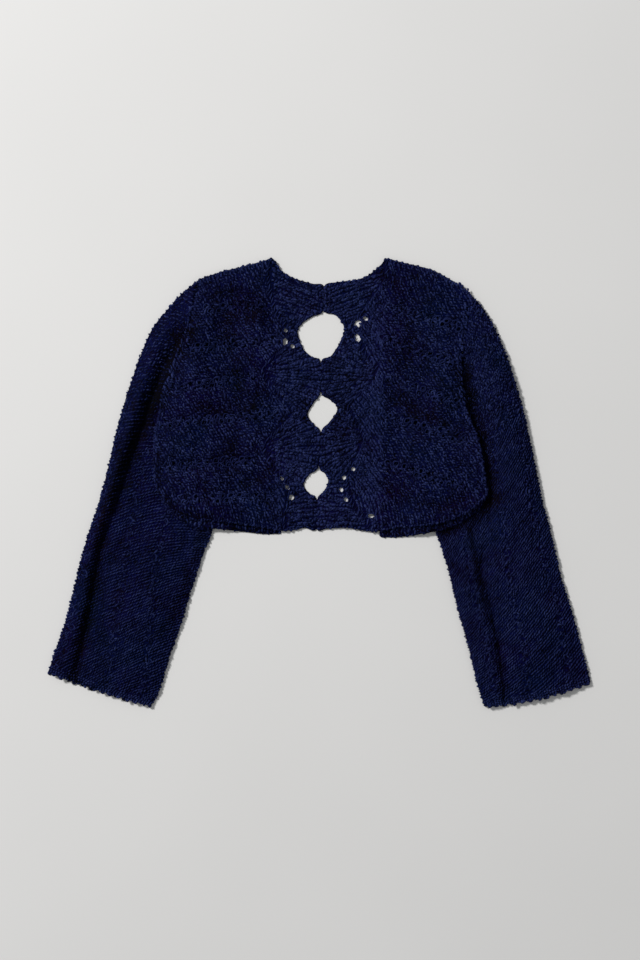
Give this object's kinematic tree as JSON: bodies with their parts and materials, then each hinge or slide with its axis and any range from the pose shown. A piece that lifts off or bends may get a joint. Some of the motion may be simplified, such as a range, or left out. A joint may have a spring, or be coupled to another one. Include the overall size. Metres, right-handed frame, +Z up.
{
  "type": "knitted lace shrug",
  "caption": "Cropped long-sleeved lace shrug, laid flat with its back up, joined down the centre back with keyholes between the joins.",
  "frame": {"origin": "middle of the flat garment's outline, on the surface that it lies on", "axes": "+Z up from the table, through the layers; +X across the garment from the left cuff to the right cuff as seen from above; +Y from the cuffs to the neck"},
  "size_m": [0.7062, 0.5834, 0.0104],
  "materials": {
    "lace_back": "matt knitted wool lace, dark navy",
    "lace_front": "matt knitted wool lace, dark navy",
    "lace_sleeve": "matt knitted wool lace, dark navy"
  },
  "bodies": {
    "root": {"back_left": "lace_back", "back_right": "lace_back", "front_left": "lace_front", "front_right": "lace_front", "sleeve_left": "lace_sleeve", "sleeve_right": "lace_sleeve"}
  },
  "joints": []
}
